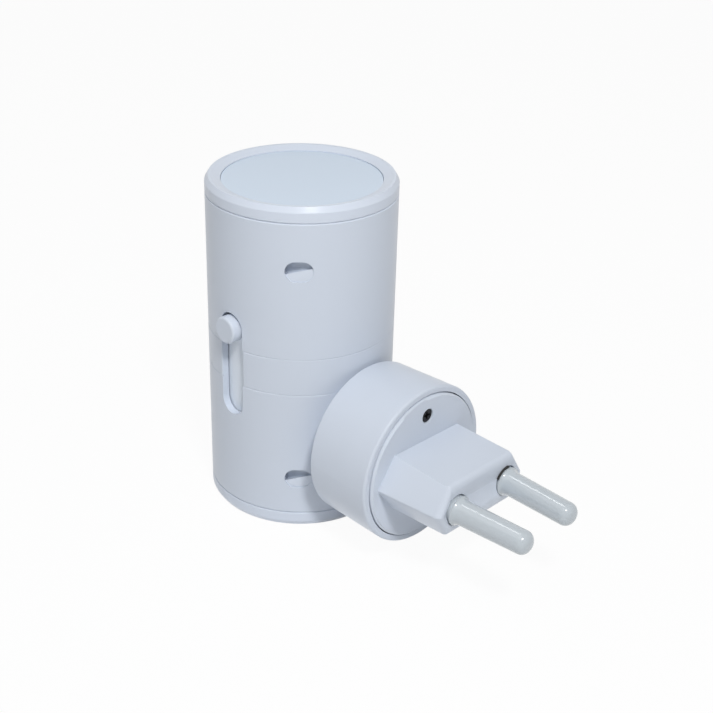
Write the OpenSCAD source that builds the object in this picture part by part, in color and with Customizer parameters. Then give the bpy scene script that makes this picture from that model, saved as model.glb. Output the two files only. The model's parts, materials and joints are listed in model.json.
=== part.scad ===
// Plug-in up-and-down night light with a swivelling plug head.
// Frame: origin at the centre of the plug's end face, between the pins.
// +Y points into the wall socket, +Z up, the slide button looks along +X.

/* [Lamp tube] */
// Outer diameter of the lamp tube
tube_d = 50; // [48:0.5:56]
// Height of the lamp tube with both end rings
tube_h = 91.5; // [88:0.5:110]
// Wall thickness of the covers and the band
wall = 2; // [1.6:0.1:2.4]
// Height of the middle band
band_h = 10.2; // [8:0.2:14]
// Depth of the bevel along each seam
seam_bevel = 0.3; // [0.1:0.05:0.5]
// How far the middle band and the slot sit below the middle of the tube
mid_drop = 0.5; // [0:0.05:1]

/* [End rings and lenses] */
// Visible height of each end ring
ring_h = 4.2; // [3.8:0.1:6]
// Width of an end ring seen from above
ring_w = 4.1; // [3.6:0.1:5]
// Width of the bevel round an end ring
ring_edge_w = 0.9; // [0.8:0.1:1.8]
// Height of the bevel round an end ring
ring_edge_h = 1.4; // [0.8:0.05:1.8]
// Width of the flat land that an end ring stands on
ring_land = 0.8; // [0.5:0.1:1]
// Fall of an end ring's face towards the lens
ring_fall = 0.9; // [0.2:0.1:1]
// Depth of the lens below the ring's inner edge
lens_recess = 0.3; // [0.2:0.05:1.4]
// Length of the ring's skirt inside a cover
skirt_h = 4.2; // [3.6:0.1:4.4]

/* [Slide dimmer] */
// Length of the slot
slot_l = 29.4; // [26:0.2:32]
// Width of the slot
slot_w = 7.9; // [7:0.1:9]
// Gap between the button and the slot's sides
button_gap = 0.35; // [0.25:0.05:0.5]
// How far the button stands out of the tube
button_out = 2.2; // [1.4:0.1:2.6]
// Thickness of the strip that closes the slot from inside
shutter_t = 1; // [0.8:0.1:1.2]

/* [Snap windows] */
// Width of a snap window
window_w = 7.2; // [6:0.1:8]
// Height of a snap window
window_h = 5.4; // [4:0.1:5.6]
// Distance of the windows' centre from the seam of the end ring
window_drop = 12.1; // [11.2:0.05:12.5]
// Depth of the snap lugs below the tube's surface
lug_recess = 1.6; // [0.8:0.1:1.6]

/* [Plug head] */
// Height of the swivel axis above the tube's base
axis_z = 24.8; // [24:0.2:26]
// Diameter of the head beside the tube
head_d_back = 42.3; // [41:0.1:43]
// Diameter of the head at its front edge
head_d_front = 43.5; // [42:0.1:44.4]
// Length of the head
head_l = 19.95; // [18:0.05:24]
// Gap between the head and the tube
head_gap = 0.75; // [0.7:0.05:1.2]
// Radius of the head's front edge
head_edge_r = 0.7; // [0.5:0.1:1.6]
// Diameter of the round plug plate
plate_d = 39.5; // [38.6:0.1:39.7]
// How far the plug plate stands out of the head
plate_out = 0.74; // [0.4:0.02:1]
// Outer diameter of the swivel neck
neck_d = 14; // [13:0.2:14.4]
// Turn of the lamp each way before it meets its stop, in degrees
swivel_stop = 170; // [160:1:172]

/* [Plug body] */
// Length of the plug body from plate to end face
block_l = 19.56; // [18:0.02:22]
// Width of the plug body at the plate
block_w0 = 35.5; // [35:0.1:36.2]
// Width of the plug body at its end face
block_w1 = 32.6; // [32.2:0.1:34]
// Height of the plug body at the plate
block_h0 = 15.6; // [15:0.1:16.4]
// Height of the plug body at its end face
block_h1 = 14.3; // [14:0.1:15]
// Width of the plug body's flat top
block_flat = 23.6; // [23:0.1:24.4]
// Depth of the rounding round the end face
nose_l = 2.4; // [1.6:0.1:3]
// Height that the rounding takes above and below the pins
nose_h = 5; // [3:0.1:5.4]
// Width that the rounding takes beside the pins
nose_w = 1.6; // [0.8:0.1:2]

/* [Pins and caps] */
// Diameter of a pin
pin_d = 4; // [3.8:0.1:4.2]
// Length of a pin outside the plug body
pin_l = 19; // [18:0.5:20]
// Distance between the pins at the end face
pin_gap0 = 19; // [18.4:0.1:19.2]
// Distance between the pins at their tips
pin_gap1 = 17.2; // [17:0.1:18]
// Length of the insulated part of a pin
sleeve_l = 10; // [9:0.5:11]
// Diameter of a pin cap at its flange
cap_d0 = 6.5; // [6.2:0.1:7]
// Diameter of a pin cap at its tip
cap_d1 = 6.14; // [6:0.02:6.4]
// Length of a pin cap
cap_l = 21.15; // [20.75:0.05:22.6]

/* [Hidden] */

$fn = 96;
eps = 0.01;             // overrun of a cut past a face
nest_gap = 0.1;         // gap between pieces that nest and stay put
run_gap = 0.05;         // radial gap of a running fit
move_gap = 0.3;         // gap beside a piece that slides or turns past another

tube_r = tube_d / 2;
bore_r = tube_r - wall;
mid_z = tube_h / 2 - mid_drop;
cover_top_z = tube_h - ring_h;
band_lo = mid_z - band_h / 2;
band_hi = mid_z + band_h / 2;

// End rings, seen from their seam upwards
lens_r = tube_r - ring_w - nest_gap;
ring_in_r = tube_r - ring_w;
skirt_r = bore_r - nest_gap;
skirt_t = 0.9;
flange_r = skirt_r - skirt_t - nest_gap;
lens_top = ring_h - ring_fall - lens_recess;
lens_bottom = lens_top - 2;
lens_flange_t = 1;
bead_h = 0.8;
bead_out = 0.2;
bead_z = skirt_h - 1;

// Carriers and light boards, measured down from the seam of the end ring
floor_t = 1.5;
carrier_t = 1.4;
carrier_r = bore_r - 0.15;
carrier_h = 10;
carrier_top = window_drop - carrier_h / 2;
floor_top = window_drop - 2.15;
led_board_t = 1.2;
led_board_r = carrier_r - carrier_t - 0.9;
reflector_t = 1;
led_size = [3.5, 2.8, 0.7];
led_count = 6;
led_screw_inset = 2.95;
led_screw_r = led_board_r - led_screw_inset;
led_inset = 9.55;
led_ring_r = led_board_r - led_inset;
led_screw_l = 4.7;
led_screw_core_r = 0.9;
led_screw_head = [1.5, 1];
led_post = [2.2, 2.5];
floor_z = cover_top_z - floor_top - floor_t;
floor_z_low = tube_h - floor_z;
led_screws_at = [-15, 135, 225];
led_wire_x = 4;
led_wire_y = -6;
led_wire_rise = 6;
led_wire_gap = 1.8;
led_wire_r = 0.6;
lug_gap = 0.15;

// Dimmer
button_r = slot_w / 2 - button_gap;
end_gap = 0.7;
slide_travel = slot_l - 2 * button_r - 2 * end_gap;
button_z = mid_z + slide_travel / 2;
shutter_r = bore_r - move_gap;
shutter_w = slot_w + 4.2;
shutter_path_w = shutter_w + 1.8;
shutter_path_x = sqrt(pow(shutter_r - shutter_t, 2) - pow(shutter_path_w / 2, 2)) - move_gap;
shutter_half = slot_l / 2 + slide_travel / 2 + 0.4;
button_face = tube_r + button_out;
button_edge_r = 0.6;
board_x = tube_r - 15;
board_t = 1.6;
board_w = 2 * (tube_r - 9);
board_gap = 0.1;
case_h = 7;
case_w = 9;
case_wall = 0.8;
case_x = board_x + board_t;
carriage = [3.4, 6.6, 8];
lever = [1.2, 4];
track_t = 0.5;
case_l = slide_travel + carriage[2] + 2 * case_wall + 1;
lever_tip = shutter_r + 2.2;

// Parts on the driver board: place across it and above the tube's middle, then size
fuse_at = [-12, 0.25];
fuse_r = 1.6;
fuse_l = 8;
part_wire_r = 0.3;
part_wire_l = 2;
rectifier_at = [11, -5.75];
rectifier = [2.6, 4.8, 4.8];
box_capacitor_at = [-9, -13.75];
box_capacitor = [6, 10, 8];
can_at = [8, 4.25];
can_r = 4;
can_l = 13;
choke_at = [0, -3.75];
choke_r = 4;
choke_core_r = 3.2;
choke_h = 8;
choke_rim = 1;
chip_at = [-2, 10.25];
chip = [1.6, 4, 5];
rail_y = board_w / 2 - 4;
rail = [5, 4, 4];

// Swivel, measured along the plug axis from the tube's axis
neck_r = neck_d / 2;
neck_bore_r = 4.6;
head_back = tube_r + head_gap;
collar_front = head_back - 0.25;
collar_r = 11;
collar_back = tube_r - 5;
washer_t = 0.5;
stop_t = 1.05;
clip_t = 1.4;
washer_back = collar_back - run_gap - washer_t;
stop_back = washer_back - stop_t;
clip_back = stop_back - run_gap - clip_t;
neck_end = clip_back - 1.4;
clip_groove_r = neck_r - 1.1;
stop_tab_r = 10.6;
stop_tab_w = 1.8;
stop_flat = neck_r - 0.8;
stop_lug_in = 9.6;
stop_ring_r = 9.2;
lug_half_angle = 180 - swivel_stop - asin(stop_tab_w / 2 / stop_lug_in) - 0.6;
stop_lug_w = 2 * stop_lug_in * sin(lug_half_angle);

// Plug head
head_wall = 2;
head_front = head_back + head_l;
plate_r = plate_d / 2;
plate_seat_r = plate_r + 0.3;
plate_face = head_front + plate_out;
plate_back = head_front - 3.1;
cavity_r = plate_seat_r - 0.95;
screw_off = 14.64;
screw_hole_r = 1.95;
screw_post_r = 3.2;
screw_post_end = plate_back - 3.6;
screw_r = 1.2;
screw_head_r = 1.8;
screw_head_h = 1.6;
screw_l = 9;
screw_depth = 0.35;
screw_seat = plate_face - screw_depth - screw_head_h;
plate_bevel = 0.5;

// Plug body
face_y = plate_face + block_l;
block_point = 0.9;
pocket = [25.8, 8];
pocket_end = face_y - 8.5;
pin_r = pin_d / 2;
pin_tilt = asin((pin_gap0 - pin_gap1) / 2 / pin_l);
pin_hole_r = cap_d0 / 2 + 0.85;
pin_hole_depth = 2.2;
pin_head_r = 2.7;
pin_head_t = 1.9;
pin_core_r = 1.5;
pin_in = face_y - pocket_end;
tail_r = 1.5;
tail_l = 4.6;
tail_bore_r = 0.9;
keeper_t = 2;
pin_seat_gap = 0.15;
keeper_back = pocket_end - pin_head_t - 2 * pin_seat_gap - 0.15 - keeper_t;
keeper_screw_r = 1.1;
wire_r = 0.8;
lead_r = 1.9;
lead_end = head_back + 9;
cap_bore_r = pin_r + 0.25;
cap_bore_l = pin_l + 0.3;
cap_flange_r = cap_d0 / 2 + 0.5;
cap_flange_t = 1.8;
cap_tip_r = 2.3;

// Mains lead inside the lamp
terminal = [3.1, 10, 10];
lead_bend_r = board_x - terminal[0];
terminal_y = 2.1;
lead_turn_y = terminal_y + lead_bend_r;

// ---- Helpers ----

// Frame of the lamp: origin at the centre of the tube's base
module in_lamp() {
    translate([0, -face_y, -axis_z]) children();
}

// Frame of the swivel: z runs along the plug axis from the tube's axis, -y is up
module in_head() {
    translate([0, -face_y, 0]) rotate([-90, 0, 0]) children();
}

// Frame of a pin: z runs along it from the plug's end face
module in_pin(side) {
    translate([side * pin_gap0 / 2, 0, 0]) rotate([-90, 0, 0])
        rotate([0, -side * pin_tilt, 0]) children();
}

// Top end: z = 0 at the seam between ring and cover
module at_top() {
    in_lamp() translate([0, 0, cover_top_z]) children();
}

// Bottom end: the same, upside down
module at_bottom() {
    in_lamp() translate([0, 0, ring_h]) mirror([0, 0, 1]) children();
}

module ring(outer_r, inner_r, h) {
    difference() {
        cylinder(r = outer_r, h = h);
        translate([0, 0, -eps]) cylinder(r = inner_r, h = h + 2 * eps);
    }
}

// A block centred on x and y, standing on z = 0
module block(size) {
    translate([-size[0] / 2, -size[1] / 2, 0]) cube(size);
}

// A prism with round ends along z, its outline w by h, from x = 0 to x = depth
module round_slot(w, h, depth) {
    r = min(w, h) / 2;
    rotate([0, 90, 0]) {
        for (side = [-1, 1])
            translate([side * (h / 2 - r), side * (w / 2 - r), 0]) cylinder(r = r, h = depth);
        block([h > w ? h - w : h, h > w ? w : w - h, depth]);
    }
}

// A tube wall with a bevel at both outer edges
module bevelled_tube(h) {
    rotate_extrude()
        polygon([[bore_r, 0], [tube_r - seam_bevel, 0], [tube_r, seam_bevel],
            [tube_r, h - seam_bevel], [tube_r - seam_bevel, h], [bore_r, h]]);
}

// Points of a cubic curve from a to d, pulled towards b and c
function curve(a, b, c, d, steps) = [for (i = [0:steps])
    let (t = i / steps, u = 1 - t) u*u*u * a + 3*u*u*t * b + 3*u*t*t * c + t*t*t * d];
function unit(v) = v / norm(v);
function tangent(p, i) = unit(p[min(i + 1, len(p) - 1)] - p[max(i - 1, 0)]);
// A direction across t, kept level so that the tube doesn't twist
function across(t) = abs(t[2]) > 0.9 ? unit(cross(t, [0, 1, 0])) : unit(cross(t, [0, 0, 1]));
wire_sides = 10;
function tube_ring(p, i, r) = let (t = tangent(p, i), u = across(t), v = cross(t, u))
    [for (k = [0:wire_sides - 1]) p[i] + r * (cos(k * 360 / wire_sides) * u
        + sin(k * 360 / wire_sides) * v)];

// A round wire along the points p
module wire(p, r) {
    last = len(p) - 1;
    polyhedron(
        points = [for (i = [0:last]) each tube_ring(p, i, r)],
        faces = concat(
            [[for (k = [0:wire_sides - 1]) k]],
            [for (i = [0:last - 1], k = [0:wire_sides - 1])
                [i * wire_sides + k, (i + 1) * wire_sides + k,
                 (i + 1) * wire_sides + (k + 1) % wire_sides,
                 i * wire_sides + (k + 1) % wire_sides]],
            [[for (k = [wire_sides - 1:-1:0]) last * wire_sides + k]]));
}

// Points of an arc about c, from angle a0 to a1
function arc(c, r, a0, a1, steps) = [for (i = [0:steps])
    let (a = a0 + (a1 - a0) * i / steps) [c[0] + r * cos(a), c[1] + r * sin(a)]];

white_plastic = [0.88, 0.9, 0.92];
frosted = [0.93, 0.95, 0.97, 0.85];
board_green = [0.16, 0.42, 0.25];
brass = [0.8, 0.68, 0.38];
steel = [0.72, 0.73, 0.75];

// ---- Covers ----

// The dimmer's slot, through all three shells on the +X side
module slot() {
    translate([bore_r - 2, 0, mid_z]) round_slot(slot_w, slot_l, wall + 4);
}

// The two snap windows at height z, or the lugs that fill them when gap is not 0
module windows(z, gap, from_r, to_r) {
    for (a = [45, 225])
        rotate([0, 0, a]) translate([from_r, 0, z])
            round_slot(window_w - 2 * gap, window_h - 2 * gap, to_r - from_r);
}

// Groove inside a cover for an end ring's snap bead; z = 0 at the seam, the cover below it
module bead_groove() {
    translate([0, 0, -bead_z - nest_gap])
        cylinder(r = bore_r + bead_out, h = bead_h + 2 * nest_gap);
}

module upper_cover() {
    color(white_plastic) difference() {
        in_lamp() translate([0, 0, band_hi]) bevelled_tube(cover_top_z - band_hi);
        in_lamp() slot();
        at_top() bead_groove();
        at_top() windows(-window_drop, 0, bore_r - 1, tube_r + 1);
    }
}

module middle_band() {
    tongue_r = bore_r - nest_gap;
    tongue_t = 1.2;
    tongue_h = 3;
    color(white_plastic) in_lamp() difference() {
        union() {
            translate([0, 0, band_lo]) bevelled_tube(band_h);
            translate([0, 0, band_lo - tongue_h])
                ring(tongue_r, tongue_r - tongue_t, band_h + 2 * tongue_h);
            translate([0, 0, band_lo]) ring(bore_r + eps, tongue_r - tongue_t, band_h);
        }
        slot();
        intersection() {
            cylinder(r = bore_r, h = tube_h);
            translate([0, -shutter_path_w / 2, band_lo - tongue_h - eps])
                cube([bore_r, shutter_path_w, band_h + 2 * tongue_h + 2 * eps]);
        }
    }
}

// The lower cover carries the round collar that the plug head turns in
module lower_cover() {
    color(white_plastic) difference() {
        union() {
            difference() {
                in_lamp() translate([0, 0, ring_h]) bevelled_tube(band_lo - ring_h);
                in_lamp() slot();
                at_bottom() bead_groove();
                at_bottom() windows(-window_drop, 0, bore_r - 1, tube_r + 1);
            }
            in_head() translate([0, 0, collar_back])
                cylinder(r = collar_r, h = collar_front - collar_back);
            in_head() translate([-stop_lug_w / 2, stop_lug_in, stop_back - 0.2])
                cube([stop_lug_w, collar_r - 0.2 - stop_lug_in, collar_back - stop_back + 1]);
        }
        in_head() translate([0, 0, collar_back - 1])
            cylinder(r = neck_r + run_gap, h = collar_front - collar_back + 2);
    }
}

// ---- Ends, drawn with z = 0 at the seam and the end upwards ----

// The skirt is open where the shutter of the slot passes
module end_ring() {
    crest = tube_r - ring_edge_w;
    difference() {
        rotate_extrude() polygon([[ring_in_r, lens_bottom], [ring_in_r, ring_h - ring_fall],
            [crest - ring_land, ring_h], [crest, ring_h], [tube_r, ring_h - ring_edge_h],
            [tube_r, seam_bevel], [tube_r - seam_bevel, 0], [skirt_r, 0],
            [skirt_r, -bead_z + bead_h], [skirt_r + bead_out, -bead_z + bead_h * 0.75],
            [skirt_r + bead_out, -bead_z + bead_h * 0.25], [skirt_r, -bead_z],
            [skirt_r, -skirt_h], [skirt_r - skirt_t, -skirt_h],
            [skirt_r - skirt_t, lens_bottom]]);
        translate([shutter_path_x, -shutter_path_w / 2, -skirt_h - 1])
            cube([tube_r, shutter_path_w, skirt_h]);
    }
}

module lens() {
    translate([0, 0, lens_bottom - eps]) cylinder(r = lens_r, h = lens_top - lens_bottom + eps);
    translate([0, 0, lens_bottom - lens_flange_t]) cylinder(r = flange_r, h = lens_flange_t);
}

// A white cup between the light board and the lens, which it holds up against the ring
module reflector() {
    low = led_board_t - floor_top;
    high = lens_bottom - lens_flange_t;
    low_r = led_ring_r + 3;
    rotate_extrude() polygon([[low_r, low], [low_r + reflector_t, low],
        [flange_r - reflector_t, high - reflector_t], [flange_r, high - reflector_t],
        [flange_r, high], [flange_r - 1.3 * reflector_t, high]]);
}

// Room for the swivel's stop, washer and clip inside the lamp
module swivel_room() {
    in_head() translate([0, 0, neck_end - 0.5])
        cylinder(r = collar_r + 0.4, h = head_back - neck_end);
}

module at_led_screws() {
    for (a = led_screws_at)
        rotate([0, 0, a]) translate([led_screw_r, 0, 0]) children();
}

module led_board() {
    translate([0, 0, -floor_top]) difference() {
        cylinder(r = led_board_r, h = led_board_t);
        at_led_screws() translate([0, 0, -eps])
            cylinder(r = led_screw_core_r + nest_gap, h = led_board_t + 1);
        for (side = [-0.5, 0.5])
            translate([led_wire_x, led_wire_y + side * led_wire_gap, -eps])
                cylinder(r = led_wire_r + nest_gap, h = led_board_t + 1);
    }
}

module leds() {
    for (i = [0:led_count - 1])
        rotate([0, 0, (i + 0.5) * 360 / led_count])
            translate([led_ring_r, 0, led_board_t - floor_top]) block(led_size);
}

// Inner frame of one end: it snaps into the windows, carries the light board and holds one
// end of the driver board in its grooved rails
module carrier() {
    floor_low = -floor_top - floor_t;
    difference() {
        union() {
            translate([0, 0, -carrier_top - carrier_h])
                ring(carrier_r, carrier_r - carrier_t, carrier_h);
            translate([0, 0, floor_low]) cylinder(r = carrier_r - 0.5, h = floor_t);
            windows(-window_drop, lug_gap, carrier_r - 1, tube_r - lug_recess);
            for (side = [-1, 1])
                translate([board_x + board_t / 2, side * rail_y, floor_low - rail[2]])
                    block([rail[0], rail[1], rail[2] + eps]);
            at_led_screws() translate([0, 0, floor_low - led_post[1]])
                cylinder(r = led_post[0], h = led_post[1] + eps);
        }
        translate([shutter_path_x, -shutter_path_w / 2, -carrier_top - carrier_h - 1])
            cube([tube_r, shutter_path_w, carrier_h + 2]);
        translate([board_x - board_gap, -board_w / 2 - board_gap, floor_low - rail[2] - eps])
            cube([board_t + 2 * board_gap, board_w + 2 * board_gap, rail[2] + eps]);
        at_led_screws() translate([0, 0, floor_low - led_post[1] - eps])
            cylinder(r = led_screw_core_r + nest_gap, h = floor_t + led_post[1] + 3 * eps);
        translate([led_wire_x, led_wire_y, floor_low - eps])
            cylinder(r = led_wire_gap / 2 + led_wire_r + 0.4, h = floor_t + 2 * eps);
    }
}

module led_screw() {
    translate([0, 0, led_board_t - floor_top]) {
        cylinder(r = led_screw_head[0], h = led_screw_head[1]);
        translate([0, 0, -led_screw_l]) cylinder(r = led_screw_core_r, h = led_screw_l + eps);
    }
}

// Two wires from the driver board to one light board
module led_wires() {
    start_z = -floor_top - floor_t - led_wire_rise;
    end_z = led_board_t - floor_top;
    for (side = [-0.5, 0.5]) {
        y = led_wire_y + side * led_wire_gap;
        wire(curve([board_x - run_gap, y, start_z], [led_wire_x + 1, y, start_z],
            [led_wire_x, y, start_z + 2], [led_wire_x, y, end_z], 12), led_wire_r);
    }
}

module top_ring() { color(white_plastic) at_top() end_ring(); }
module bottom_ring() { color(white_plastic) at_bottom() end_ring(); }
module top_lens() { color(frosted) at_top() lens(); }
module bottom_lens() { color(frosted) at_bottom() lens(); }
module top_reflector() { color("white") at_top() reflector(); }
module bottom_reflector() { color("white") at_bottom() reflector(); }
module top_led_board() { color("whitesmoke") at_top() led_board(); }
module top_leds() { color("khaki") at_top() leds(); }
module bottom_leds() { color("khaki") at_bottom() leds(); }
module top_carrier() { color("gainsboro") at_top() carrier(); }
module top_led_wires() { color("firebrick") at_top() led_wires(); }
module bottom_led_wires() { color("firebrick") at_bottom() led_wires(); }

module bottom_led_board() {
    notch = 9;
    color("whitesmoke") difference() {
        at_bottom() led_board();
        in_lamp() translate([-notch / 2, neck_end, 0]) cube([notch, tube_r, axis_z]);
    }
}

module bottom_carrier() {
    color("gainsboro") difference() {
        at_bottom() carrier();
        swivel_room();
    }
}

module led_screws() {
    color(steel) {
        at_top() at_led_screws() led_screw();
        at_bottom() at_led_screws() led_screw();
    }
}

// ---- Driver ----

// Face of the driver board that carries the parts, at height z and offset y, x into the lamp
module on_board(y, z) {
    in_lamp() translate([board_x, y, z]) mirror([1, 0, 0]) children();
}

module driver_board() {
    low = floor_z_low + board_gap;
    color(board_green) in_lamp() translate([board_x, -board_w / 2, low])
        cube([board_t, board_w, floor_z - board_gap - low]);
}

module mains_terminal() {
    color("seagreen") on_board(terminal_y, axis_z)
        translate([0, -terminal[1] / 2, -terminal[2] / 2]) cube(terminal);
}

module fuse_resistor() {
    color("peru") on_board(fuse_at[0], mid_z + fuse_at[1]) {
        translate([fuse_r, 0, 0]) cylinder(r = fuse_r, h = fuse_l);
        for (z = [part_wire_r - part_wire_l, fuse_l + part_wire_l - part_wire_r])
            translate([0, 0, z]) rotate([0, 90, 0]) cylinder(r = part_wire_r, h = fuse_r);
        translate([fuse_r, 0, -part_wire_l])
            cylinder(r = part_wire_r, h = fuse_l + 2 * part_wire_l);
    }
}

module bridge_rectifier() {
    color("dimgray") on_board(rectifier_at[0], mid_z + rectifier_at[1])
        translate([0, -rectifier[1] / 2, -rectifier[2] / 2]) cube(rectifier);
}

module input_capacitor() {
    color("goldenrod") on_board(box_capacitor_at[0], mid_z + box_capacitor_at[1])
        translate([0, -box_capacitor[1] / 2, -box_capacitor[2] / 2]) cube(box_capacitor);
}

module smoothing_capacitor() {
    color("navy") on_board(can_at[0], mid_z + can_at[1])
        translate([can_r, 0, 0]) cylinder(r = can_r, h = can_l);
}

module choke() {
    color("sienna") on_board(choke_at[0], mid_z + choke_at[1]) rotate([0, 90, 0]) {
        cylinder(r = choke_r, h = choke_rim);
        cylinder(r = choke_core_r, h = choke_h);
        translate([0, 0, choke_h - choke_rim]) cylinder(r = choke_r, h = choke_rim);
    }
}

module driver_chip() {
    color("black") on_board(chip_at[0], mid_z + chip_at[1])
        translate([0, -chip[1] / 2, -chip[2] / 2]) cube(chip);
}

// Slide control: a case on the driver board with the resistance strip in it
module dimmer_case() {
    slit = lever + [0.8, slide_travel + 0.8];
    color("silver") in_lamp() translate([case_x, 0, mid_z]) difference() {
        translate([0, -case_w / 2, -case_l / 2]) cube([case_h, case_w, case_l]);
        translate([-eps, -case_w / 2 + case_wall, -case_l / 2 + case_wall])
            cube([case_h - case_wall + eps, case_w - 2 * case_wall, case_l - 2 * case_wall]);
        translate([0, -slit[0] / 2, -slit[1] / 2]) cube([case_h + 1, slit[0], slit[1]]);
    }
}

module dimmer_track() {
    inner = case_w - 2 * case_wall - 2 * nest_gap;
    length = case_l - 2 * case_wall - 2 * nest_gap;
    color("saddlebrown") in_lamp() translate([case_x, -inner / 2, mid_z - length / 2])
        cube([track_t, inner, length]);
}

// The lamp's stretch of the mains lead, from the swivel to the terminal
module lamp_lead() {
    color("gray") in_lamp() translate([0, 0, axis_z]) {
        translate([0, lead_turn_y, 0]) rotate([-90, 0, 0])
            cylinder(r = lead_r, h = head_back - run_gap - lead_turn_y);
        translate([lead_bend_r, lead_turn_y, 0]) rotate([0, 0, 180])
            rotate_extrude(angle = 90) translate([lead_bend_r, 0]) circle(r = lead_r);
    }
}

// ---- Slide button and what moves with it ----

module dimmer_lever() {
    back = case_x + track_t + run_gap;
    color("ivory") in_lamp() translate([0, 0, button_z]) {
        translate([back, -carriage[1] / 2, -carriage[2] / 2]) cube(carriage);
        translate([back + eps, -lever[0] / 2, -lever[1] / 2]) cube([lever_tip - back, lever[0], lever[1]]);
    }
}

module lever_hole(gap) {
    translate([0, -lever[0] / 2 - gap, -lever[1] / 2 - gap])
        cube([lever_tip + gap, lever[0] + 2 * gap, lever[1] + 2 * gap]);
}

module slot_shutter() {
    color(white_plastic) in_lamp() translate([0, 0, button_z]) difference() {
        intersection() {
            translate([0, 0, -shutter_half]) ring(shutter_r, shutter_r - shutter_t, 2 * shutter_half);
            translate([0, -shutter_w / 2, -shutter_half]) cube([tube_r, shutter_w, 2 * shutter_half]);
        }
        lever_hole(nest_gap);
    }
}

module slide_button() {
    length = button_face - shutter_r;
    color(white_plastic) in_lamp() translate([0, 0, button_z]) difference() {
        translate([shutter_r, 0, 0]) rotate([0, 90, 0]) rotate_extrude()
            polygon(concat([[0, 0], [button_r, 0]],
                arc([button_r - button_edge_r, length - button_edge_r], button_edge_r, 0, 90, 8),
                [[0, length]]));
        lever_hole(nest_gap);
    }
}

// ---- Plug head ----

module at_screws() {
    for (side = [-1, 1])
        translate([0, side * screw_off, 0]) children();
}

module head_shell() {
    r0 = head_d_back / 2;
    r1 = head_d_front / 2;
    edge = 0.5;
    color(white_plastic) in_head() difference() {
        union() {
            difference() {
                rotate_extrude() polygon(concat([[0, head_back], [r0 - edge, head_back]],
                    arc([r0 - edge, head_back + edge], edge, -45, 0, 3),
                    arc([r1 - head_edge_r, head_front - head_edge_r], head_edge_r, 0, 90, 8),
                    [[0, head_front]]));
                translate([0, 0, head_back + head_wall]) cylinder(r = cavity_r, h = head_l);
                translate([0, 0, plate_back]) cylinder(r = plate_seat_r, h = head_l);
            }
            translate([0, 0, neck_end]) cylinder(r = neck_r, h = head_back - neck_end + head_wall);
            at_screws() translate([0, 0, head_back + eps])
                cylinder(r = screw_post_r, h = screw_post_end - head_back - eps);
        }
        translate([0, 0, neck_end - 1]) cylinder(r = neck_bore_r, h = head_l);
        translate([0, 0, clip_back - run_gap / 2])
            ring(neck_r + 1, clip_groove_r, clip_t + run_gap);
        for (side = [-1, 1])
            translate([side * (stop_flat + neck_r) / 2, 0, neck_end - 1])
                block([neck_r - stop_flat, 2 * neck_r, stop_back + stop_t - neck_end + 1]);
        at_screws() translate([0, 0, screw_seat - screw_l - 0.5])
            cylinder(r = screw_r + nest_gap, h = screw_l + 1);
    }
}

// Outline of the plug body: flat above and below, its sloping sides meet in blunt ridges
function body_outline(w, h) =
    let (ridge_x = w / 2 - block_point * 0.2,
         ridge_z = block_point * 0.2 * h / (w - block_flat))
    [[block_flat / 2, h / 2], [ridge_x, ridge_z], [ridge_x, -ridge_z], [block_flat / 2, -h / 2],
     [-block_flat / 2, -h / 2], [-ridge_x, -ridge_z], [-ridge_x, ridge_z],
     [-block_flat / 2, h / 2]];

// Size of the plug body at y along the swivel axis
function body_w(y) = block_w0 + (block_w1 - block_w0) * (y - plate_face) / block_l;
function body_h(y) = block_h0 + (block_h1 - block_h0) * (y - plate_face) / block_l;

// A tapering prism with an elliptic rounding round its end
module plug_body() {
    slice = 0.02;
    hull() {
        translate([0, 0, plate_face - 0.5]) linear_extrude(slice)
            polygon(body_outline(block_w0, block_h0));
        for (a = [0:9:90]) {
            y = face_y - nose_l * (1 - sin(a)) - slice;
            inset = 2 * (1 - cos(a));
            translate([0, 0, y]) linear_extrude(slice)
                polygon(body_outline(body_w(y) - nose_w * inset, body_h(y) - nose_h * inset));
        }
    }
}

module plug_plate() {
    boss_r = screw_hole_r + 1.4;
    color(white_plastic) difference() {
        in_head() difference() {
            union() {
                rotate_extrude() polygon([[0, plate_back], [plate_r, plate_back],
                    [plate_r, plate_face - plate_bevel], [plate_r - plate_bevel, plate_face],
                    [0, plate_face]]);
                plug_body();
                at_screws() translate([0, 0, screw_post_end])
                    cylinder(r = boss_r, h = plate_back - screw_post_end + eps);
            }
            difference() {
                translate([0, 0, plate_back - eps])
                    block([pocket[0], pocket[1], pocket_end - plate_back + eps]);
                translate([0, 0, keeper_back + keeper_t]) cylinder(r = 2.6, h = block_l);
            }
            translate([0, 0, keeper_back]) cylinder(r = keeper_screw_r + nest_gap, h = 8);
            at_screws() translate([0, 0, screw_seat]) cylinder(r = screw_hole_r, h = block_l);
            at_screws() translate([0, 0, screw_post_end - 1])
                cylinder(r = screw_r + nest_gap, h = screw_seat - screw_post_end + 2);
        }
        for (side = [-1, 1])
            in_pin(side) {
                translate([0, 0, -pin_hole_depth]) cylinder(r = pin_hole_r, h = pin_hole_depth + 1);
                translate([0, 0, -pin_in - 1]) cylinder(r = pin_r + nest_gap, h = pin_in + 1);
            }
    }
}

module plate_screws() {
    color(steel) in_head() at_screws() translate([0, 0, screw_seat]) {
        difference() {
            cylinder(r = screw_head_r, h = screw_head_h);
            for (a = [0, 90])
                rotate([0, 0, a]) translate([0, 0, screw_head_h - 0.8]) block([2.2, 0.6, 1]);
        }
        translate([0, 0, -screw_l]) cylinder(r = screw_r, h = screw_l + eps);
    }
}

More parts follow.
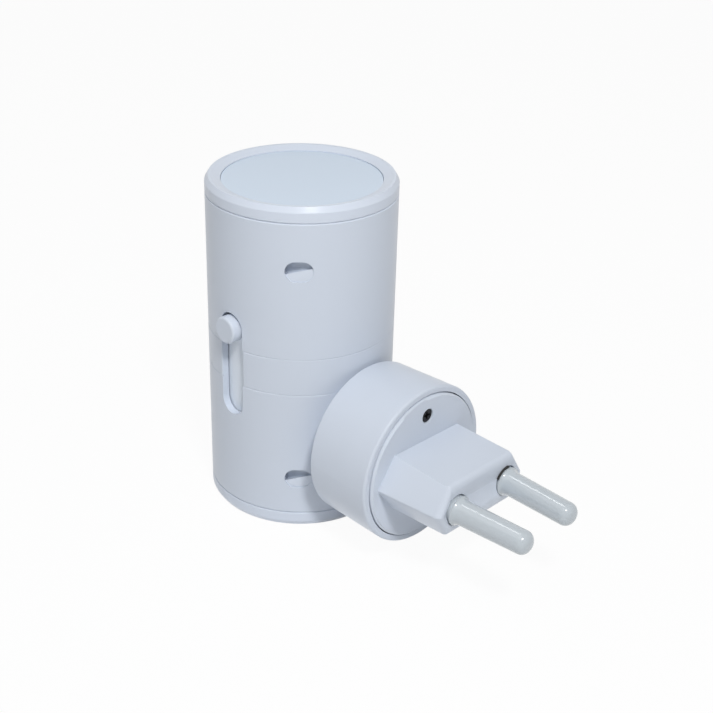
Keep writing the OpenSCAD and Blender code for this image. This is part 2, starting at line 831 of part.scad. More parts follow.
// A pin: a full-width tip, a thin core under its sleeve, a head behind the body's wall and a
// hollow tail that the wire is crimped in
module pin(side) {
    head_z = -pin_in - pin_seat_gap - pin_head_t;
    color(brass) in_pin(side) difference() {
        union() {
            rotate_extrude() polygon(concat([[0, head_z + eps], [pin_core_r, head_z + eps],
                [pin_core_r, sleeve_l], [pin_r, sleeve_l]],
                arc([pin_r - 1.2, pin_l - 1.2], 1.2, 0, 90, 6), [[0, pin_l]]));
            translate([0, 0, head_z]) cylinder(r = pin_head_r, h = pin_head_t);
            translate([0, 0, head_z - tail_l]) cylinder(r = tail_r, h = tail_l + eps);
        }
        translate([0, 0, head_z - tail_l - 1]) cylinder(r = tail_bore_r, h = 4);
    }
}

module live_pin() { pin(1); }
module neutral_pin() { pin(-1); }

module pin_sleeves() {
    color("white") for (side = [-1, 1])
        in_pin(side) translate([0, 0, -pin_in]) ring(pin_r, pin_core_r + 0.02, pin_in + sleeve_l - 0.02);
}

module pin_keeper() {
    color("gainsboro") difference() {
        in_head() translate([0, 0, keeper_back])
            block([pocket[0] - 4 * nest_gap, pocket[1] - 4 * nest_gap, keeper_t]);
        for (side = [-1, 1])
            in_pin(side) translate([0, 0, keeper_back - face_y - 1])
                cylinder(r = tail_r + 0.2, h = keeper_t + 2);
        in_head() translate([0, 0, keeper_back - 1])
            cylinder(r = keeper_screw_r + nest_gap, h = keeper_t + 2);
    }
}

module keeper_screw() {
    color(steel) in_head() translate([0, 0, keeper_back]) {
        translate([0, 0, -1.4]) cylinder(r = 2, h = 1.4);
        cylinder(r = keeper_screw_r, h = 7);
    }
}

// The head's stretch of the mains lead, on the swivel axis
module head_lead() {
    color("gray") in_head() translate([0, 0, head_back]) cylinder(r = lead_r, h = lead_end - head_back);
}

// One core of the lead, from the end of its sheath into a pin's tail
module core(side) {
    tail_z = pin_in + pin_seat_gap + pin_head_t + tail_l;
    axis = [-side * sin(pin_tilt), 0, cos(pin_tilt)];
    tail_end = [side * pin_gap0 / 2, 0, face_y] - tail_z * axis;
    start = [side * (wire_r + 0.15), 0, lead_end + run_gap];
    in_head() wire(concat(curve(start, start + [0, 0, 7], tail_end - 7 * axis, tail_end, 14),
        [tail_end + 1.5 * axis]), wire_r);
}

module live_wire() { color("brown") core(1); }
module neutral_wire() { color("royalblue") core(-1); }

module lead_grommet() {
    color("black") in_head() {
        translate([0, 0, neck_end - 1]) ring(neck_r - 0.9, lead_r + move_gap, 1);
        translate([0, 0, neck_end - eps]) ring(neck_bore_r - nest_gap, lead_r + move_gap, 4);
    }
}

module friction_washer() {
    color("darkorange") in_head() translate([0, 0, washer_back])
        ring(stop_ring_r, neck_r + nest_gap, washer_t);
}

// Keyed ring whose tab meets the lug on the collar at the end of the swivel's turn
module stop_ring() {
    color(steel) in_head() translate([0, 0, stop_back]) difference() {
        union() {
            cylinder(r = stop_ring_r, h = stop_t);
            translate([-stop_tab_w / 2, -stop_tab_r, 0]) cube([stop_tab_w, stop_tab_r, stop_t]);
        }
        intersection() {
            translate([0, 0, -eps]) cylinder(r = neck_r + nest_gap, h = stop_t + 2 * eps);
            translate([0, 0, -eps])
                block([2 * (stop_flat + nest_gap), 3 * neck_r, stop_t + 2 * eps]);
        }
    }
}

module swivel_clip() {
    color(steel) in_head() translate([0, 0, clip_back]) difference() {
        ring(neck_r + 1.6, clip_groove_r + nest_gap, clip_t);
        translate([0, 0, -eps]) translate([-4, 0, 0]) cube([8, 2 * neck_r, clip_t + 2 * eps]);
    }
}

// ---- Pin caps ----

module pin_cap(side) {
    r0 = cap_d0 / 2;
    r1 = cap_d1 / 2;
    base = -pin_hole_depth;
    color([0.72, 0.77, 0.8, 0.8]) in_pin(side) difference() {
        rotate_extrude() polygon(concat(
            [[0, base], [cap_flange_r, base], [cap_flange_r, base + cap_flange_t],
             [r0, base + cap_flange_t], [r0, 0]],
            arc([r1 - cap_tip_r, cap_l - cap_tip_r], cap_tip_r, 0, 90, 10), [[0, cap_l]]));
        translate([0, 0, base - 1]) cylinder(r = cap_bore_r, h = cap_bore_l - base + 1);
    }
}

module live_pin_cap() { pin_cap(1); }
module neutral_pin_cap() { pin_cap(-1); }

upper_cover();
middle_band();
lower_cover();
top_ring();
bottom_ring();
top_lens();
bottom_lens();
top_reflector();
bottom_reflector();
top_led_board();
bottom_led_board();
top_leds();
bottom_leds();
top_carrier();
bottom_carrier();
led_screws();
driver_board();
mains_terminal();
fuse_resistor();
bridge_rectifier();
input_capacitor();
smoothing_capacitor();
choke();
driver_chip();
dimmer_case();
dimmer_track();
top_led_wires();
bottom_led_wires();
lamp_lead();
dimmer_lever();
slot_shutter();
slide_button();
head_shell();
plug_plate();
plate_screws();
live_pin();
neutral_pin();
pin_sleeves();
pin_keeper();
keeper_screw();
live_wire();
neutral_wire();
head_lead();
lead_grommet();
friction_washer();
stop_ring();
swivel_clip();
live_pin_cap();
neutral_pin_cap();
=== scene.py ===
import json
import math

import bmesh
import bpy
from mathutils import Matrix, Vector


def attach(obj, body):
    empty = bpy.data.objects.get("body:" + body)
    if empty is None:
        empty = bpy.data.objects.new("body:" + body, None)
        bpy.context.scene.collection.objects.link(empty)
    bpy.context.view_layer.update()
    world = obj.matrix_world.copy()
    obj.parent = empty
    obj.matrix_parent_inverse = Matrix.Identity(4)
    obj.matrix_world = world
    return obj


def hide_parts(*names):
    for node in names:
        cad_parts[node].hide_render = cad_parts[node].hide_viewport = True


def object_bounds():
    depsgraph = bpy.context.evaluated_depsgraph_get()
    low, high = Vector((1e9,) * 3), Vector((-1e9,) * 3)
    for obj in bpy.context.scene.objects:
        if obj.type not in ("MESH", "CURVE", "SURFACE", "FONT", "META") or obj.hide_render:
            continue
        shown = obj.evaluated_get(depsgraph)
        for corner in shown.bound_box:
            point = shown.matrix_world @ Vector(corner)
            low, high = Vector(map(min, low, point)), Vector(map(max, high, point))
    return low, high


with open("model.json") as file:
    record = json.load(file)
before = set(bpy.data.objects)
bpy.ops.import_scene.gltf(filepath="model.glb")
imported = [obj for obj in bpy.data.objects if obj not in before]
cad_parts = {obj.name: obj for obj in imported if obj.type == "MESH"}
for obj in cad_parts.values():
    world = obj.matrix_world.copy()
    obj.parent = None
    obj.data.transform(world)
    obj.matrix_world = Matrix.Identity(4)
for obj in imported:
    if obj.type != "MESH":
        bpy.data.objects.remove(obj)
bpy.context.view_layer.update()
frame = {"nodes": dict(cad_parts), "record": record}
nodes = frame["nodes"]
mm = 0.001
print("frame loaded:", len(nodes), "nodes")


# ---- Shader helpers ----

class Wire:
    # One socket of a material; arithmetic on it adds Math nodes
    def __init__(self, tree, socket):
        self.tree = tree
        self.socket = socket

    # Adds any other node: its settings first, then its inputs; returns the output asked for
    def node(self, kind, settings=None, inputs=None, output=0):
        made = self.tree.nodes.new(kind)
        for name, value in (settings or {}).items():
            setattr(made, name, value)
        for key, value in (inputs or {}).items():
            if isinstance(value, Wire):
                self.tree.links.new(value.socket, made.inputs[key])
            else:
                made.inputs[key].default_value = value
        return Wire(self.tree, made.outputs[output])

    def maths(self, operation, *values):
        return self.node("ShaderNodeMath", {"operation": operation}, dict(enumerate(values)))

    def __add__(self, other):
        return self.maths("ADD", self, other)

    def __sub__(self, other):
        return self.maths("SUBTRACT", self, other)

    def __mul__(self, other):
        return self.maths("MULTIPLY", self, other)

    def __truediv__(self, other):
        return self.maths("DIVIDE", self, other)

    def __rsub__(self, other):
        return self.maths("SUBTRACT", other, self)

    def __rtruediv__(self, other):
        return self.maths("DIVIDE", other, self)

    __radd__ = __add__
    __rmul__ = __mul__


# An empty material: its shader and a wire of the object's own coordinates
def newMaterial(name):
    material = bpy.data.materials.new(name)
    material.use_nodes = True
    tree = material.node_tree
    shader = tree.nodes["Principled BSDF"]
    place = tree.nodes.new("ShaderNodeTexCoord").outputs["Object"]
    return material, shader, Wire(tree, place)


def noise(place, scale, detail=2.0):
    return place.node("ShaderNodeTexNoise", inputs={"Vector": place, "Scale": scale, "Detail": detail})


# Colour that wanders a little between two tones
def blendColour(factor, toneA, toneB):
    return factor.node("ShaderNodeMix", {"data_type": "RGBA"},
                       {"Factor": factor, 6: (*toneA, 1), 7: (*toneB, 1)}, 2)


def link(wire, shader, name):
    wire.tree.links.new(wire.socket, shader.inputs[name])


# Moulded or drawn material: tone wanders by spread, with fine unevenness in gloss and height
def plainMaterial(name, tone, spread=0.03, rough=0.35, roughSpread=0.08, **values):
    material, shader, place = newMaterial(name)
    broad = noise(place, 60.0)
    fine = noise(place, 900.0, 3.0)
    darker = [c * (1 - spread) for c in tone]
    lighter = [min(1, c * (1 + spread)) for c in tone]
    link(blendColour(broad, darker, lighter), shader, "Base Color")
    link(fine * roughSpread + (rough - roughSpread / 2), shader, "Roughness")
    bump = place.node("ShaderNodeBump", inputs={"Height": fine, "Strength": 0.02, "Distance": 0.0002})
    link(bump, shader, "Normal")
    for key, value in values.items():
        shader.inputs[key.replace("_", " ")].default_value = value
    return material


# ---- Materials ----

materialTones = {
    "whitePlastic": (0.655, 0.71, 0.80),
    "frostedLens": (0.64, 0.735, 0.85),
    "capPlastic": (0.52, 0.57, 0.61),
    # painted light: the white plastic made a little lighter for the lit tops of the end rings
    "ringPlasticPaintedLight": (0.685, 0.742, 0.838),
    # painted light: the white plastic made much lighter for the shutter, which lies in the slot's shade
    "shutterPlasticPaintedLight": (0.81, 0.87, 0.95),
}

dull = {"Specular_IOR_Level": 0.2}

# Each: tone, how far it wanders, roughness, how far that wanders
materials = {
    "white_plastic": plainMaterial("whitePlastic", materialTones["whitePlastic"], 0.008, 0.3, 0.04, **dull),
    "ring_plastic_painted_light": plainMaterial("ringPlasticPaintedLight", materialTones["ringPlasticPaintedLight"], 0.008, 0.3, 0.04, **dull),
    "shutter_plastic_painted_light": plainMaterial("shutterPlasticPaintedLight", materialTones["shutterPlasticPaintedLight"], 0.008, 0.35, 0.04,
                                     **dull),
    "frosted_lens": plainMaterial("frostedLens", materialTones["frostedLens"], 0.008, 0.45, 0.05),
    "reflector_white": plainMaterial("reflectorWhite", (0.85, 0.86, 0.87), 0.02, 0.4),
    "carrier_plastic": plainMaterial("carrierPlastic", (0.66, 0.715, 0.805), 0.02, 0.4),
    "circuit_board": plainMaterial("circuitBoard", (0.03, 0.15, 0.06), 0.3, 0.35),
    "light_board": plainMaterial("lightBoard", (0.8, 0.8, 0.79), 0.05, 0.35),
    "led": plainMaterial("led", (0.85, 0.75, 0.3), 0.1, 0.3),
    "component_dark": plainMaterial("componentDark", (0.02, 0.02, 0.022), 0.3, 0.4),
    "component_colour": plainMaterial("componentColour", (0.3, 0.18, 0.05), 0.2, 0.4),
    "terminal_plastic": plainMaterial("terminalPlastic", (0.03, 0.2, 0.1), 0.1, 0.4),
    "capacitor_sleeve": plainMaterial("capacitorSleeve", (0.02, 0.03, 0.1), 0.15, 0.3),
    "wire_red": plainMaterial("wireRed", (0.5, 0.02, 0.02), 0.1, 0.4),
    "wire_brown": plainMaterial("wireBrown", (0.16, 0.06, 0.03), 0.1, 0.4),
    "wire_blue": plainMaterial("wireBlue", (0.02, 0.08, 0.4), 0.1, 0.4),
    "lead_sheath": plainMaterial("leadSheath", (0.5, 0.5, 0.5), 0.1, 0.5),
    "black_rubber": plainMaterial("blackRubber", (0.02, 0.02, 0.02), 0.3, 0.7),
    "washer_fibre": plainMaterial("washerFibre", (0.45, 0.16, 0.05), 0.2, 0.7),
    "steel": plainMaterial("steel", (0.55, 0.56, 0.58), 0.06, 0.32, Metallic=1.0),
    "dark_steel": plainMaterial("darkSteel", (0.03, 0.03, 0.034), 0.2, 0.42, Metallic=0.9),
    "brass_pin": plainMaterial("brassPin", (0.72, 0.55, 0.27), 0.06, 0.28, Metallic=1.0),
    "cap_plastic": plainMaterial("capPlastic", materialTones["capPlastic"], 0.01, 0.22, 0.05,
                                 Coat_Weight=0.5, Coat_Roughness=0.06),
}

# Nodes of white plastic given lighter copies of it: painted light on the end rings, whose tops catch the
# light, and on the shutter in the dimmer slot's shade
paintedLightMaterial = {"slot_shutter": "shutter_plastic_painted_light", "top_ring": "ring_plastic_painted_light", "bottom_ring": "ring_plastic_painted_light"}
for entry in frame["record"]["subparts"]:
    node = nodes[entry["node"]]
    node.data.materials.clear()
    node.data.materials.append(materials[paintedLightMaterial.get(entry["node"], entry["material_slot"])])
print("materials set:", len(materials))


# ---- What every new piece uses ----

# Measures of the CAD model, in mm, by which the shapes below find their edges
cad = {
    "tubeAxis": 66.0,    # from the tube's axis to the plug's end face
    "tubeBase": -24.8,
    "tubeTop": 66.7,
    "ringHeight": 4.2,
    "outside": 24.3,     # past this radius lies the tube's outer wall
    "crest": 23.4,       # radius of the crest round an end ring, and half its width
    "crestHalf": 0.6,
    "slotHalf": 4.3,     # half the dimmer slot's width, with its rim
    "windowDrop": 12.1,  # from an end ring's seam to the middle of a snap window
    "windowHalf": 3.7,   # half a snap window's width and height, with its rim
    "windowTall": 2.8,
    "windowIn": 21.0,    # past this radius lie the windows and the lugs
    "groove": 24.7,      # radius at the bottom of the middle band's grooves
    "grooveLow": 15.35,
    "grooveHigh": 25.55,
    "near": 0.06,        # how close a point on a groove's bottom lies
    "plateFace": -19.56,
    "plateEdge": 18.4,   # within this radius on the plate stands the plug body
    "longEdge": 11.8,    # the ends of the body's top and bottom edges, from the middle
    "screwSide": 14.64,  # the plate screws, above and below the plug's axis
    "screwHole": 2.2,    # radius of their holes, with the rim
    "pinSide": 9.5,      # the pins, at each side of the plug's axis
    "pinHole": 4.3,      # radius of their holes, with the rim
}
tubeAxis = Vector((0, -cad["tubeAxis"], 0)) * mm
bodyOf = {name: body for body, names in frame["record"]["behaviour"]["bodies"].items() for name in names}


# Distance of a point from the tube's axis, in mm
def fromTube(point):
    return math.hypot(point.x, point.y + cad["tubeAxis"] * mm) / mm


# Distance of a point from the swivel's axis, in mm
def fromSwivel(point):
    return math.hypot(point.x, point.z) / mm


def isOutside(point):
    return fromTube(point) > cad["outside"]


def putPiece(name, shape, body, paint, smooth=40, look=None):
    bmesh.ops.recalc_face_normals(shape, faces=shape.faces)
    mesh = bpy.data.meshes.new(name)
    shape.to_mesh(mesh)
    shape.free()
    mesh.shade_smooth()
    mesh.set_sharp_from_angle(angle=math.radians(smooth))
    mesh.materials.append(materials[look or paint])
    piece = bpy.data.objects.new(name, mesh)
    bpy.context.scene.collection.objects.link(piece)
    weighted = piece.modifiers.new("evenShading", "WEIGHTED_NORMAL")
    weighted.keep_sharp = True
    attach(piece, body)
    return piece


# A CAD node's mesh as few flat faces, ready to be shaped further
def cleanCopy(node):
    shape = bmesh.new()
    shape.from_mesh(nodes[node].data)
    bmesh.ops.remove_doubles(shape, verts=shape.verts, dist=1e-6)
    bmesh.ops.dissolve_limit(shape, angle_limit=math.radians(0.5), verts=shape.verts, edges=shape.edges)
    return shape


def roundEdges(shape, width, steps, sharp, wanted):
    edges = [e for e in shape.edges if e.is_manifold and e.calc_face_angle() > math.radians(sharp)
             and all(wanted(v.co) for v in e.verts)]
    bmesh.ops.bevel(shape, geom=edges, offset=width * mm, offset_type="OFFSET", segments=steps,
                    profile=0.5, affect="EDGES", material=-1, clamp_overlap=True)


# ---- Covers, middle band and end rings ----

# Rim of the dimmer's slot, on the +X side
def onSlotRim(point):
    return (isOutside(point) and point.x > cad["outside"] * mm
            and abs(point.y + cad["tubeAxis"] * mm) < cad["slotHalf"] * mm)


# The blunt crest that runs round each end ring
def onCrest(point):
    return abs(fromTube(point) - cad["crest"]) < cad["crestHalf"]


# Each round: width in mm, steps, degrees from which an edge is sharp, and where it lies
coverRounds = [(0.45, 4, 50, onSlotRim), (0.2, 3, 75, isOutside)]
ringRounds = [(0.38, 4, 15, onCrest), (0.15, 2, 28, isOutside)]
softPieces = {
    "upperCoverShell": ("upper_cover", coverRounds),
    "middleBandShell": ("middle_band", coverRounds),
    "lowerCoverShell": ("lower_cover", coverRounds),
    "topRingShell": ("top_ring", ringRounds),
    "bottomRingShell": ("bottom_ring", ringRounds),
}

# How far each cover's snap windows lie from their CAD place, and that place, in mm
windowShift = {"upper_cover": -0.45, "lower_cover": -1.3}
windowPlace = {
    "upper_cover": cad["tubeTop"] - cad["ringHeight"] - cad["windowDrop"],
    "lower_cover": cad["tubeBase"] + cad["ringHeight"] + cad["windowDrop"],
}


# Distances from the tube's axis out through the +X+Y window, across it, and up from its centre
def windowSpot(point, middle):
    x, y = point.x, point.y + cad["tubeAxis"] * mm
    return (x + y) * math.sqrt(0.5), (y - x) * math.sqrt(0.5), point.z - middle * mm


def shiftWindows(shape, node):
    for v in shape.verts:
        out, across, up = windowSpot(v.co, windowPlace[node])
        if (abs(across) < cad["windowHalf"] * mm and abs(up) < cad["windowTall"] * mm
                and abs(out) > cad["windowIn"] * mm):
            v.co.z += windowShift[node] * mm


# The end rings are spun: radius and height above the seam, then the skirt inside the cover
endRing = {
    "outline": [(20.9, 1.0), (20.9, 3.3), (23.3, 4.2), (24.1, 4.2), (25, 2.8), (25, 0.3), (24.7, 0),
                (22, 0), (22, 1.0)],
    "skirt": [(22, -4.2), (22.9, -4.2), (22.9, -3.2), (23.1, -3), (23.1, -2.6), (22.9, -2.4),
              (22.9, 0.15), (22, 0.15)],
    "skirtGap": 19.3,  # degrees each side of +X, the shutter's path
    "steps": 128,
}
# Height of each ring's seam, and which way the ring goes from there
ringSeams = {
    "top_ring": (cad["tubeTop"] - cad["ringHeight"], 1),
    "bottom_ring": (cad["tubeBase"] + cad["ringHeight"], -1),
}


def spunRing(node):
    seam, up = ringSeams[node]
    shape = bmesh.new()
    gap = math.radians(endRing["skirtGap"])
    for points, start in ((endRing["outline"], 0), (endRing["skirt"], gap)):
        whole = start == 0
        spots = [Vector((r * math.cos(start), r * math.sin(start), seam + up * z)) for r, z in points]
        verts = [shape.verts.new(spot * mm + tubeAxis) for spot in spots]
        if whole:
            outline = [shape.edges.new(pair) for pair in zip(verts, verts[1:] + verts[:1])]
        else:
            outline = [shape.faces.new(verts)]
        bmesh.ops.spin(shape, geom=outline, axis=(0, 0, 1), cent=tubeAxis, steps=endRing["steps"],
                       angle=2 * (math.pi - start), use_merge=whole)
    return shape


bandGroove = {"radius": 24.88}  # mm, at the bottom of the shallow grooves along the middle band


def easeSeams(shape):
    for v in shape.verts:
        radius = fromTube(v.co)
        near = min(abs(v.co.z / mm - cad["grooveLow"]), abs(v.co.z / mm - cad["grooveHigh"]))
        if abs(radius - cad["groove"]) < cad["near"] and near < cad["near"]:
            v.co.x *= bandGroove["radius"] / radius
            v.co.y = (v.co.y - tubeAxis.y) * bandGroove["radius"] / radius + tubeAxis.y


for name, (node, rounds) in softPieces.items():
    shape = spunRing(node) if node in ringSeams else cleanCopy(node)
    easeSeams(shape)
    if node in windowShift:
        shiftWindows(shape, node)
    for width, steps, sharp, wanted in rounds:
        roundEdges(shape, width, steps, sharp, wanted)
    piece = putPiece(name, shape, bodyOf[node], "white_plastic", 28, paintedLightMaterial.get(node))
    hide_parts(node)
    print(name, len(piece.data.vertices))


# ---- Snap lugs ----

# A sunk upper part, and a lower part that leans out until it is almost flush; in mm
lug = {
    "front": 23.3,    # past this distance from the tube's axis lies the lug's face
    "sunk": 21.6,     # the upper part's distance from the axis
    "rise": 1.9,      # how much less it is sunk at the end away from +X
    "step": 24.3,     # the lower part's distance, at the step and at its foot
    "foot": 24.68,
    "line": -0.05,    # height of the step above the window's middle
    "lean": 0.24,     # slope of the step
    "wall": 0.06,     # height of the wall between the two parts
    "height": 2.9,    # from the step down to the foot
    "undercut": 0.5,  # slope of the upper part's lowest strip, so that no top shows above the lower part
    "strip": 0.15,
    "spread": 1.05,   # the lower part fills the window from side to side
}


def lugFace(shape, middle, turn):
    return [f for f in shape.faces
            if all(windowSpot(v.co, middle)[0] * turn > lug["front"] * mm for v in f.verts)]


# Cuts the faces turned to one window along the step, once below and once above the wall
def cutLug(shape, middle, turn, across):
    for gap in (0, lug["wall"]):
        front = lugFace(shape, middle, turn)
        edges = {e for f in front for e in f.edges}
        corners = {v for e in edges for v in e.verts}
        spot = tubeAxis + Vector((0, 0, middle + lug["line"] + gap)) * mm
        bmesh.ops.bisect_plane(shape, geom=front + list(edges) + list(corners), dist=1e-7, plane_co=spot,
                               plane_no=Vector((0, 0, 1)) - across * lug["lean"])


def shapeLug(shape, middle, turn, across):
    for v in shape.verts:
        out, side, up = windowSpot(v.co, middle)
        if out * turn <= lug["front"] * mm:
            continue
        height = up / mm - lug["line"] - lug["lean"] * side * turn / mm
        if height > lug["wall"] / 2:
            level = lug["sunk"] + lug["rise"] * max(0, (side * turn / mm + 0.5) / 4)
            if height < lug["strip"]:
                v.co.z -= lug["undercut"] * (lug["step"] - level) * mm
        else:
            level = lug["step"] + (lug["foot"] - lug["step"]) * min(1, -height / lug["height"])
            v.co.z += up * (lug["spread"] - 1)
            v.co += across * turn * side * (lug["spread"] - 1)
        v.co += Vector((1, 1, 0)) * math.sqrt(0.5) * (turn * level * mm - out)


for name, node, cover in (("topCarrierFrame", "top_carrier", "upper_cover"),
                          ("bottomCarrierFrame", "bottom_carrier", "lower_cover")):
    shape = cleanCopy(node)
    shiftWindows(shape, cover)
    middle = windowPlace[cover] + windowShift[cover]
    for turn in (1, -1):
        across = Vector((-1, 1, 0)) * math.sqrt(0.5) * turn
        cutLug(shape, middle, turn, across)
        shapeLug(shape, middle, turn, across)
    piece = putPiece(name, shape, "lamp", "carrier_plastic", 30)
    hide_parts(node)
    print(name, len(piece.data.vertices))


# ---- Plug body ----

plugRounds = {"ridge": 0.45, "hole": 0.12}  # mm, along the body's long edges and round the screw holes

# The end face has a steep upper part, a patch that leans out to a crisp edge, and an undercut; in mm
endFace = {
    "back": 0.8,        # how far the upper part stands back
    "edgeHeight": -2.6,
    "patchTop": 2.15,
    "undercut": 0.27,   # slope below the edge
    "halfHeight": 7.15,
    "cornerHeight": 1.95,
    "cornerDepth": 1.4,
    "solidDepth": 2.4,  # the CAD model's rounding, and how deep it starts at the two sides here
    "sideDepth": 0.46,
    "sides": 12.4,      # past this distance from the middle lie the two sides
    "reach": 18.0,      # and past this radius the plate's rim
    "holeDepth": 1.2,   # how deep a pin's hole follows the face
}


def onPlate(point):
    return point.y > (cad["plateFace"] - 0.01) * mm


# The body's top and bottom edges
def onLongEdge(point):
    x, y, z = abs(point.x) / mm, point.y / mm, abs(point.z) / mm
    return (onPlate(point) and fromSwivel(point) < cad["plateEdge"] and abs(z - cad["screwSide"]) > 2.5
            and abs(x - cad["longEdge"]) < 0.6 and y < -0.3 and z > 5.2)


def onScrewHole(point):
    return (onPlate(point) and fromSwivel(point) > 12
            and math.hypot(point.x, abs(point.z) - cad["screwSide"] * mm) < cad["screwHole"] * mm)


# Depth of the end face at a height above the plug's middle
def endFaceAt(height):
    edge, tall = endFace["edgeHeight"], endFace["cornerHeight"]
    into = min(1, max(0, (abs(height) - endFace["halfHeight"] + tall) / (tall + 0.03)))
    corner = endFace["cornerDepth"] * (math.sqrt(1 - into * into) - 1)
    if height > edge:
        return corner - endFace["back"] * min(1, (height - edge) / (endFace["patchTop"] - edge))
    return corner + endFace["undercut"] * (height - edge)


shape = cleanCopy("plug_plate")
for v in shape.verts:
    x, y, z = abs(v.co.x) / mm, v.co.y / mm, v.co.z / mm
    if y < -endFace["solidDepth"] - 0.05 or fromSwivel(v.co) > endFace["reach"]:
        continue
    if math.hypot(x - cad["pinSide"], z) < cad["pinHole"]:
        if y > -endFace["holeDepth"]:
            v.co.y = endFaceAt(z) * mm
    elif x > endFace["sides"]:
        v.co.y = (y * (1 - endFace["sideDepth"] / endFace["solidDepth"]) - endFace["sideDepth"]) * mm
    else:
        if y > -0.01 and z < 0:
            v.co.z = endFace["edgeHeight"] * mm
        v.co.y = endFaceAt(v.co.z / mm) * mm
roundEdges(shape, plugRounds["ridge"], 4, 12, onLongEdge)
roundEdges(shape, plugRounds["hole"], 2, 50, onScrewHole)
piece = putPiece("plugBody", shape, "plug_head", "white_plastic", 35)
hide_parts("plug_plate")
print("plugBody", len(piece.data.vertices))


# ---- Pin caps ----

# Sleeves that flare out to fill their holes at the end face; in mm
pinCap = {
    "bore": 2.25,     # radii, from the inside out, then of the shaft and its tip
    "hidden": 3.75,
    "mouth": 3.92,
    "neck": 3.22,
    "tip": 3.07,
    "round": 2.3,
    "depth": 2.2,     # along the pin: below the end face, the flare, the bore and the whole
    "flare": 1.9,
    "boreEnd": 19.3,
    "length": 21.15,
    "steps": 64,
}
pinTurn = math.asin(0.9 / 19)  # the pins close in by 0.9 mm over their 19 mm


# Points from the bore's end round to the tip, each a radius and a place along the pin
def capOutline(c):
    points = [(0, c["boreEnd"]), (c["bore"], c["boreEnd"]), (c["bore"], -c["depth"]),
              (c["hidden"], -c["depth"]), (c["hidden"], -0.5), (c["mouth"], -0.05)]
    for step in range(9):
        t = math.radians(step * 90 / 8)
        points.append((c["mouth"] + (c["neck"] - c["mouth"]) * math.sin(t),
                       0.1 + c["flare"] * (1 - math.cos(t))))
    for step in range(11):
        t = math.radians(step * 9)
        points.append((c["tip"] - c["round"] * (1 - math.cos(t)),
                       c["length"] - c["round"] * (1 - math.sin(t))))
    return points + [(0, c["length"])]


for name, node, side in (("livePinCap", "live_pin_cap", 1), ("neutralPinCap", "neutral_pin_cap", -1)):
    shape = bmesh.new()
    verts = [shape.verts.new((radius * mm, y * mm, 0)) for radius, y in capOutline(pinCap)]
    edges = [shape.edges.new(pair) for pair in zip(verts, verts[1:])]
    bmesh.ops.spin(shape, geom=edges, axis=(0, 1, 0), cent=(0, 0, 0), steps=pinCap["steps"],
                   angle=2 * math.pi, use_merge=True)
    bmesh.ops.remove_doubles(shape, verts=shape.verts, dist=1e-7)
    bmesh.ops.rotate(shape, verts=shape.verts, matrix=Matrix.Rotation(side * pinTurn, 3, "Z"))
    bmesh.ops.translate(shape, verts=shape.verts, vec=(side * cad["pinSide"] * mm, 0, 0))
    piece = putPiece(name, shape, bodyOf[node], "cap_plastic", 60)
    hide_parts(node)
    print(name, len(piece.data.vertices))


# Painted shade: a black strip that stands for the shadow in the gap over the cap on the -X side
gapShadeStrip = {
    "inner": 3.97,    # radii and places along the pin, in mm
    "outer": 4.25,
    "front": -0.25,
    "depth": 0.9,
    "from": 28,       # degrees round the pin, from +X upwards
    "to": 98,
    "steps": 18,
}
shape = bmesh.new()
inner, outer, front, back = gapShadeStrip["inner"], gapShadeStrip["outer"], gapShadeStrip["front"], -gapShadeStrip["depth"]
corners = [shape.verts.new((r * mm, y * mm, 0))
           for r, y in ((inner, back), (outer, back), (outer, front), (inner, front))]
start = shape.faces.new(corners)
bmesh.ops.rotate(shape, verts=corners, matrix=Matrix.Rotation(math.radians(-gapShadeStrip["from"]), 3, "Y"))
bmesh.ops.spin(shape, geom=[start], axis=(0, -1, 0), cent=(0, 0, 0), steps=gapShadeStrip["steps"],
               angle=math.radians(gapShadeStrip["to"] - gapShadeStrip["from"]))
bmesh.ops.translate(shape, verts=shape.verts, vec=(-cad["pinSide"] * mm, 0, 0))
# the black material stands for shade here, not for rubber
piece = putPiece("capGapPaintedShade", shape, "plug_head", "black_rubber", 40)
print("capGapPaintedShade", len(piece.data.vertices))


# ---- Studio ----

# Powers in W, sizes and distance in m; each light stands in its own direction from the centre
studio = {
    "centre": (0, -0.045, 0.01),
    "distance": 0.6,
    "keyPower": 2.0,
    "keySize": 0.09,
    "keyFrom": (0.335, 0.516, 0.788),
    "fillPower": 0.62,
    "fillSize": 0.5,
    "fillFrom": (0.42, -0.12, 0.9),
    "glintPower": 0.5,
    "glintSize": 0.08,
    "glintLength": 0.3,
    "glintFrom": (-0.063, -0.48, 0.873),
    "ambient": 0.235,
    "ambientTone": (0.97, 0.985, 1.0),
    "floorGlow": 0.95,  # the rest of the floor's brightness is lit, and keeps the object's shadow
    "floorSize": 3,
    "floorGap": 0.0002,
}


def lookAt(target, place):
    back = (Vector(place) - Vector(target)).normalized()
    return back.to_track_quat("Z", "Y").to_matrix().to_4x4()


# A disk, or a strip where a length is given
def areaLight(name, place, target, size, power, length=None):
    data = bpy.data.lights.new(name, "AREA")
    data.shape = "RECTANGLE" if length else "DISK"
    data.size = size
    if length:
        data.size_y = length
    data.energy = power
    light = bpy.data.objects.new(name, data)
    light.matrix_world = Matrix.Translation(place) @ lookAt(target, place)
    bpy.context.scene.collection.objects.link(light)
    return light


centre = Vector(studio["centre"])
for kind in ("key", "fill", "glint"):
    place = centre + Vector(studio[kind + "From"]).normalized() * studio["distance"]
    light = areaLight(kind + "Light", place, centre, studio[kind + "Size"], studio[kind + "Power"],
                      studio.get(kind + "Length"))
    if kind == "glint":  # it shows in the gloss of the caps and lights nothing
        light.visible_diffuse = False

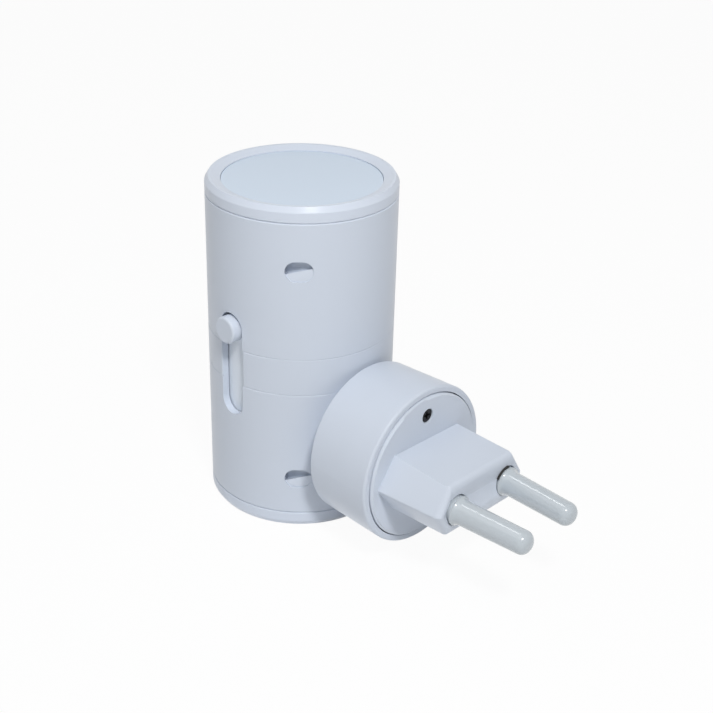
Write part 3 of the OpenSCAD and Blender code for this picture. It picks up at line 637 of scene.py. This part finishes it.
# To the camera, and in gloss or glass, the surroundings are white; they light the object less
world = bpy.data.worlds.new("studio")
bpy.context.scene.world = world
world.use_nodes = True
skyTree = world.node_tree
seen = Wire(skyTree, skyTree.nodes.new("ShaderNodeLightPath").outputs["Is Camera Ray"])


def whiteRays(wire):
    path = wire.socket.node
    total = wire
    for name in ("Is Glossy Ray", "Is Transmission Ray"):
        total = total.maths("MAXIMUM", total, Wire(wire.tree, path.outputs[name]))
    return total


skyColour = blendColour(whiteRays(seen), [c * studio["ambient"] for c in studio["ambientTone"]], (1, 1, 1))
skyTree.links.new(skyColour.socket, skyTree.nodes["Background"].inputs["Color"])

floorMesh = bpy.data.meshes.new("floor")
shape = bmesh.new()
bmesh.ops.create_grid(shape, x_segments=1, y_segments=1, size=studio["floorSize"])
bmesh.ops.translate(shape, verts=shape.verts, vec=(0, 0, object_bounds()[0].z - studio["floorGap"]))
shape.to_mesh(floorMesh)
shape.free()
floor = bpy.data.objects.new("floor", floorMesh)
bpy.context.scene.collection.objects.link(floor)
floorPaint = bpy.data.materials.new("floor")
floorPaint.use_nodes = True
floorTree = floorPaint.node_tree
floorShader = floorTree.nodes["Principled BSDF"]
floorShader.inputs["Base Color"].default_value = (0.9, 0.9, 0.9, 1)
floorShader.inputs["Roughness"].default_value = 0.9
floorSeen = Wire(floorTree, floorTree.nodes.new("ShaderNodeLightPath").outputs["Is Camera Ray"])
glow = floorSeen.node("ShaderNodeEmission", inputs={"Color": (1, 1, 1, 1), "Strength": 1.0})
lit = Wire(floorTree, floorShader.outputs["BSDF"])
mixed = floorSeen.node("ShaderNodeMixShader",
                       inputs={0: whiteRays(floorSeen) * studio["floorGlow"], 1: lit, 2: glow})
floorTree.links.new(mixed.socket, floorTree.nodes["Material Output"].inputs["Surface"])
floorMesh.materials.append(floorPaint)


# ---- Camera ----

cameraView = {
    "place": (220.21, 165.92, 180.11),  # mm
    "azimuth": 223.77,
    "pitch": 27.431,
    "roll": 1.555,
    "lens": 66.33,
}


def aimCamera(azimuth, pitch, roll):
    a, e, c = (math.radians(v) for v in (azimuth, pitch, roll))
    forward = Vector((math.cos(a) * math.cos(e), math.sin(a) * math.cos(e), -math.sin(e)))
    right = Vector((math.sin(a), -math.cos(a), 0))
    down = forward.cross(right)
    rightRolled = right * math.cos(c) - down * math.sin(c)
    downRolled = right * math.sin(c) + down * math.cos(c)
    return Matrix((rightRolled, -downRolled, -forward)).transposed()


cameraData = bpy.data.cameras.new("camera")
cameraData.lens = cameraView["lens"]
cameraData.sensor_width = 36
cameraData.clip_start = 0.01
cameraData.clip_end = 10
camera = bpy.data.objects.new("camera", cameraData)
cameraTurn = aimCamera(cameraView["azimuth"], cameraView["pitch"], cameraView["roll"])
camera.matrix_world = Matrix.Translation(Vector(cameraView["place"]) * mm) @ cameraTurn.to_4x4()
bpy.context.scene.collection.objects.link(camera)
bpy.context.scene.camera = camera
bpy.context.scene.view_settings.view_transform = "Standard"
print("studio and camera set")
